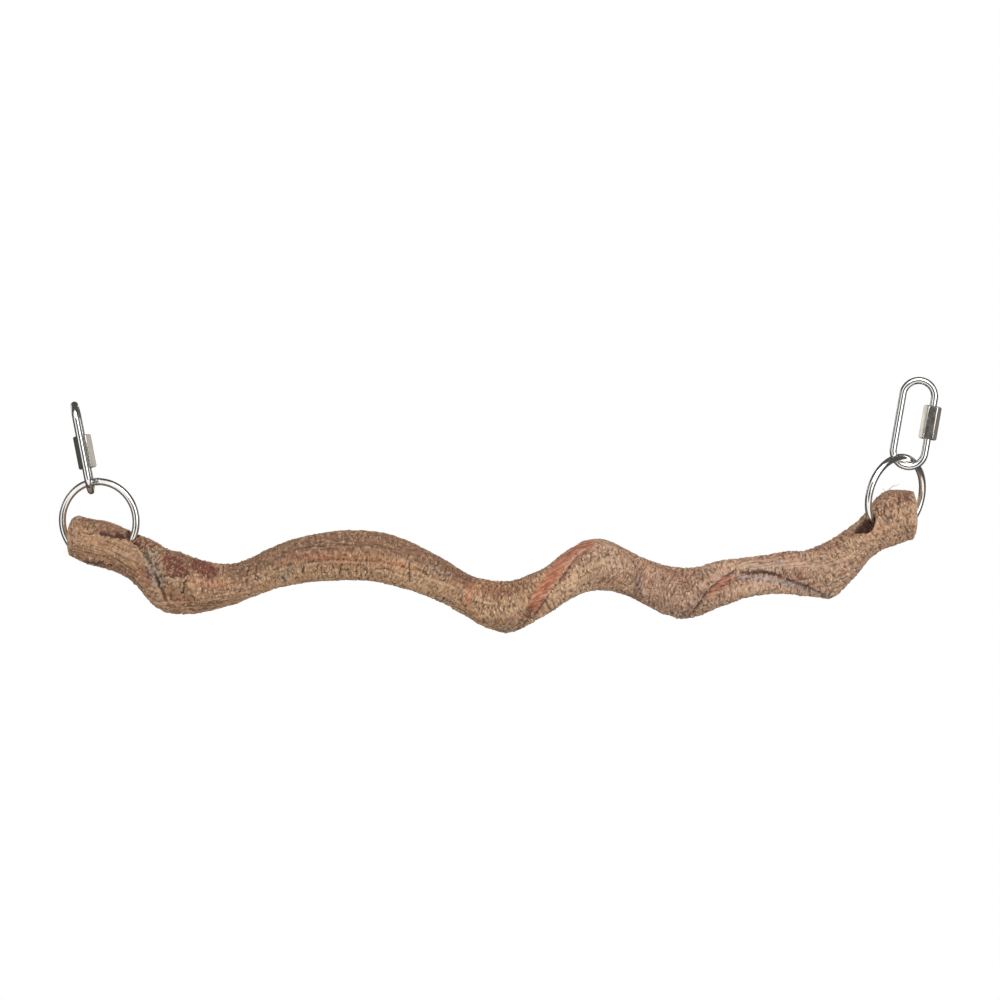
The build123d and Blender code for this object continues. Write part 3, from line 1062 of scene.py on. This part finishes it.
# A screw quick link hooks into each ring: a steel bar bent to a long eye, with a gap in one leg. Both
# sides of the gap are threaded for the sleeve nut, which hides the thread until it is screwed back.
link_white = (0.97, 0.97, 0.95)
link_roughness = 0.14
thread_grey = (0.62, 0.6, 0.56)
thread_roughness = 0.3
thread_pitch = 0.0008
thread_radius = 0.00243
thread_ridge = 0.00012
thread_steps = 32
ridge_sides = 6
thread_inputs = {"Turns": "Float", "Pitch": "Float", "Radius": "Float", "Ridge": "Float",
                 "Start": "Vector", "Tilt": "Rotation"}
short_turns = 5
long_turns = 14
short_start = 0.0100
long_start = 0.0025
nut_off_middle = 0.0025
square_to_bar = 0.01
outside_bore = 0.004


def nut_frame(side):
    """Middle of a sleeve nut, the way its link's bar runs there, and the way one of its flats faces."""
    mesh = frame["nodes"][side + "_sleeve_nut"].data
    bar_way = Vector(joints[side + "_nut_slide"]["axis"]).normalized()
    first = bar_way.orthogonal().normalized()
    second = bar_way.cross(first)
    middle = Vector()
    for way in (bar_way, first, second):
        heights = [vertex.co.dot(way) for vertex in mesh.vertices]
        middle += way * (min(heights) + max(heights)) / 2
    sides = [face for face in mesh.polygons if abs(face.normal.dot(bar_way)) < square_to_bar]
    flat = max(sides, key=lambda face: (face.center - middle).dot(face.normal) > outside_bore and face.area)
    return middle, bar_way, flat.normal.copy()


def thread_tree(finish):
    """The tree that winds a screw thread round a bar: one ridge in a spiral from a start along a way."""
    tree, given = sized_tree("screw thread", thread_inputs, takes_shape=False)
    height = times(tree, given["Turns"], given["Pitch"])
    wound = node(tree, "GeometryNodeCurveSpiral",
                 {"Resolution": thread_steps, "Rotations": given["Turns"], "Start Radius": given["Radius"],
                  "End Radius": given["Radius"], "Height": height})
    outline = node(tree, "GeometryNodeCurvePrimitiveCircle",
                   {"Resolution": ridge_sides, "Radius": given["Ridge"]})
    body = node(tree, "GeometryNodeCurveToMesh",
                {"Curve": wound.outputs[0], "Profile Curve": outline.outputs[0], "Fill Caps": True})
    placed = node(tree, "GeometryNodeTransform",
                  {"Geometry": body.outputs[0], "Translation": given["Start"], "Rotation": given["Tilt"]})
    return end_tree(tree, placed, finish)


link_steel = steel_finish("polished_link_bar", link_white, link_roughness)
thread_cutter = thread_tree(steel_finish("cut_thread", thread_grey, thread_roughness))
for side in ("left", "right"):
    bar = frame["nodes"][side + "_quick_link"]
    bar.data.materials.clear()
    bar.data.materials.append(link_steel)
    nut_middle, slide_way = nut_frame(side)[:2]
    short_way = -slide_way
    leg_middle = nut_middle - short_way * nut_off_middle
    for end, start, way, turns in (("short", short_start, short_way, short_turns),
                                   ("long", long_start, slide_way, long_turns)):
        name = side + "_link_" + end + "_thread"
        thread = put_in_scene(name, bpy.data.meshes.new(name))
        made_by(thread_cutter, thread,
                {"Turns": float(turns), "Pitch": thread_pitch, "Radius": thread_radius, "Ridge": thread_ridge,
                 "Start": leg_middle + short_way * start, "Tilt": way.to_track_quat("Z", "Y").to_euler()})
        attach(thread, side + "_quick_link")

# A hexagon sleeve nut screws over the gap and holds the link shut. It is cut from hexagon bar with
# slightly rounded edges, its ends are turned to a cone, and its bore is countersunk at both ends.
nut_half_length = 0.01175
nut_half_flats = 0.0055
nut_edge_radius = 0.0004
nut_corner = 0.00635
nut_end_radius = 0.0053
nut_end_rise = 0.0007
nut_bore = 0.0026
nut_countersink = 0.001
nut_white = (0.88, 0.85, 0.78)
nut_roughness = 0.16
sharp_edge = math.radians(25)
nut_flats = 6
flat_turn = 360 / nut_flats
half_turn = flat_turn / 2
flat_steps = (-28.2, -24, -18, -12, -6, 0, 6, 12, 18, 24, 28.2, 29, 30, 31)
cone_steps = 7


def hexagon_radius(angle):
    """How far the rounded hexagon reaches at an angle from the middle of a flat."""
    from_flat = (angle + half_turn) % flat_turn - half_turn
    flat_reach = nut_half_flats / math.cos(math.radians(from_flat))
    from_corner = math.radians(half_turn - abs(from_flat))
    inner_corner = (nut_half_flats - nut_edge_radius) / math.cos(math.radians(half_turn))
    sideways = inner_corner * math.sin(from_corner)
    if sideways >= nut_edge_radius:
        return flat_reach
    rounded = inner_corner * math.cos(from_corner) + math.sqrt(nut_edge_radius ** 2 - sideways ** 2)
    return min(flat_reach, rounded)


nut_steel = steel_finish("turned_nut_steel", nut_white, nut_roughness)
nut_angles = [flat_turn * flat + step for flat in range(nut_flats) for step in flat_steps]
nut_rows = [(nut_countersink - nut_half_length, nut_bore, False),
            (-nut_half_length, nut_bore + nut_countersink, False)]
for step in range(cone_steps + 1):
    share = step / cone_steps
    nut_rows.append((share * nut_end_rise - nut_half_length,
                     nut_end_radius + share * (nut_corner - nut_end_radius), True))
nut_rows += [(-height, reach, hexagon) for height, reach, hexagon in reversed(nut_rows)]
for side in ("left", "right"):
    nut_middle, bar_way, flat_way = nut_frame(side)
    side_way = bar_way.cross(flat_way)
    blank = bmesh.new()
    loops = []
    for height, reach, hexagon in nut_rows:
        loop = []
        for angle in nut_angles:
            radius = min(reach, hexagon_radius(angle)) if hexagon else reach
            away = flat_way * math.cos(math.radians(angle)) + side_way * math.sin(math.radians(angle))
            loop.append(blank.verts.new(nut_middle + bar_way * height + away * radius))
        loops.append(loop)
    joined_loops(blank, loops + loops[:1])
    bmesh.ops.recalc_face_normals(blank, faces=blank.faces)
    nut_mesh = mesh_from(blank, side + "_nut_turned")
    nut_mesh.shade_smooth()
    nut_mesh.set_sharp_from_angle(angle=sharp_edge)
    nut_mesh.materials.append(nut_steel)
    nut = put_in_scene(side + "_nut_turned", nut_mesh)
    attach(nut, side + "_sleeve_nut")
    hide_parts(side + "_sleeve_nut")

# The perch is shown hanging in a white studio: white all round, with a large soft lamp above the camera
# and a weaker one at the right. The camera and the steel see the room as plain white.
room_light = 0.68
backdrop_light = 1.0
world = bpy.data.worlds.new("white_studio")
bpy.context.scene.world = world
world.use_nodes = True
world_tree = world.node_tree
world_tree.nodes.clear()
ray = node(world_tree, "ShaderNodeLightPath").outputs
shown = maths(world_tree, "MAXIMUM", ray["Is Camera Ray"], ray["Is Glossy Ray"])
shown = maths(world_tree, "MAXIMUM", shown, ray["Is Transmission Ray"])
room = node(world_tree, "ShaderNodeBackground", {"Color": (1, 1, 1, 1), "Strength": room_light})
backdrop = node(world_tree, "ShaderNodeBackground", {"Color": (1, 1, 1, 1), "Strength": backdrop_light})
either = node(world_tree, "ShaderNodeMixShader", {0: shown, 1: room.outputs[0], 2: backdrop.outputs[0]})
node(world_tree, "ShaderNodeOutputWorld", {"Surface": either.outputs[0]})


def soft_lamp(name, position, size, power):
    """A large square lamp that looks at the middle of the perch."""
    lamp = bpy.data.lights.new(name, "AREA")
    lamp.size = size
    lamp.energy = power
    made = put_in_scene(name, lamp)
    made.location = position
    made.rotation_euler = (-Vector(position)).to_track_quat("-Z", "Y").to_euler()


soft_lamp("key_lamp", position=(0.2, -1.75, 1.45), size=1.6, power=26)
soft_lamp("fill_lamp", position=(1.2, -1.5, 0.3), size=1.4, power=8)

# Dark boards and pale cards stand round the perch and show only in reflections. They give the steel the
# dark and light lines that polished wire has, and throw no shadow.
paint_green = 0.96
paint_blue = 0.9
bowl_rows = 16
bowl_round = 48
bowl_radius = 2.6


def board_paint(name, level):
    """Slightly warm paint of a board that shows at the same level wherever it is seen."""
    material, tree = new_finish(name)
    paint = (level, paint_green * level, paint_blue * level, 1)
    glow = node(tree, "ShaderNodeEmission", {"Color": paint})
    node(tree, "ShaderNodeOutputMaterial", {"Surface": glow.outputs[0]})
    return material


def reflected_board(name, mesh, paint):
    """Stands a board in the studio that shows only in reflections."""
    mesh.materials.append(paint)
    board = put_in_scene(name, mesh)
    board.visible_camera = False
    board.visible_diffuse = False
    board.visible_shadow = False
    board.visible_transmission = False


def bowl_mesh(name, from_angle, to_angle, heading):
    """Part of a wide bowl round the perch, between two angles off the way it heads."""
    bowl = bmesh.new()
    loops = []
    for row in range(bowl_rows + 1):
        angle = math.radians(from_angle + (to_angle - from_angle) * row / bowl_rows)
        away = bowl_radius * math.sin(angle)
        ahead = heading * bowl_radius * math.cos(angle)
        loop = []
        for step in range(bowl_round):
            turn = 2 * math.pi * step / bowl_round
            loop.append(bowl.verts.new((away * math.cos(turn), ahead, away * math.sin(turn))))
        loops.append(loop)
    joined_loops(bowl, loops)
    return mesh_from(bowl, name)


def card_mesh(name, middle, size):
    """A square card that faces the perch."""
    turned = (-Vector(middle)).to_track_quat("Z", "Y").to_matrix().to_4x4()
    card = bmesh.new()
    bmesh.ops.create_grid(card, x_segments=1, y_segments=1, size=size / 2,
                          matrix=Matrix.Translation(middle) @ turned)
    return mesh_from(card, name)


dark_grey = board_paint("dark_grey_board", level=0.075)
reflected_board("board_behind", bowl_mesh("board_behind", from_angle=8, to_angle=118, heading=1), dark_grey)
reflected_board("board_at_camera", bowl_mesh("board_at_camera", from_angle=1, to_angle=29, heading=-1),
                dark_grey)
reflected_board("white_card", card_mesh("white_card", middle=(-1.68, 1.08, 0.56), size=0.8),
                board_paint("white_card", level=0.95))
reflected_board("pale_card", card_mesh("pale_card", middle=(1.64, 1.15, 0.56), size=0.7),
                board_paint("pale_card", level=0.55))
reflected_board("grey_card", card_mesh("grey_card", middle=(2.05, 1.12, -0.2), size=0.75),
                board_paint("grey_card", level=0.2))

# A round, pale floor lies well below the perch. Its paint thins out towards its edge, so it runs into
# the white room without a line.
floor_reach = 1.3
floor_solid = 0.4
floor_clear = 0.97
floor_level = -0.6
floor_sides = 96
floor_pale = (0.85, 0.85, 0.84, 1)
floor_roughness = 0.8
floor_finish, floor_tree = new_finish("pale_floor")
floor_place = node(floor_tree, "ShaderNodeTexCoord").outputs["Object"]
floor_flat = vector_maths(floor_tree, "MULTIPLY", floor_place, (1.0, 1.0, 0.0))
floor_away = node(floor_tree, "ShaderNodeVectorMath", {0: floor_flat}, operation="LENGTH").outputs["Value"]
floor_thin = fade(floor_tree, floor_away, floor_solid, floor_clear * floor_reach)
floor_paint = node(floor_tree, "ShaderNodeBsdfPrincipled",
                   {"Base Color": floor_pale, "Roughness": floor_roughness})
floor_bare = node(floor_tree, "ShaderNodeBsdfTransparent")
floor_edge = node(floor_tree, "ShaderNodeMixShader",
                  {0: floor_thin, 1: floor_paint.outputs[0], 2: floor_bare.outputs[0]})
node(floor_tree, "ShaderNodeOutputMaterial", {"Surface": floor_edge.outputs[0]})
disc = bmesh.new()
bmesh.ops.create_circle(disc, cap_ends=True, segments=floor_sides, radius=floor_reach,
                        matrix=Matrix.Translation((0, 0, floor_level)))
floor_mesh = mesh_from(disc, "floor")
floor_mesh.materials.append(floor_finish)
floor = put_in_scene("floor", floor_mesh)
floor.visible_glossy = False

# The camera stands level in front of the perch, where the marks were placed from, and takes in a square
# view.
picture_steps = 1000
camera = bpy.data.cameras.new("camera")
camera.sensor_width = 36
camera.lens = camera.sensor_width * camera_away / (picture_steps * photo_step)
camera_stand = put_in_scene("camera", camera)
camera_stand.location = (0, -camera_away, camera_height)
camera_stand.rotation_euler = (math.pi / 2, 0, 0)
bpy.context.scene.camera = camera_stand
bpy.context.scene.view_settings.view_transform = "Standard"
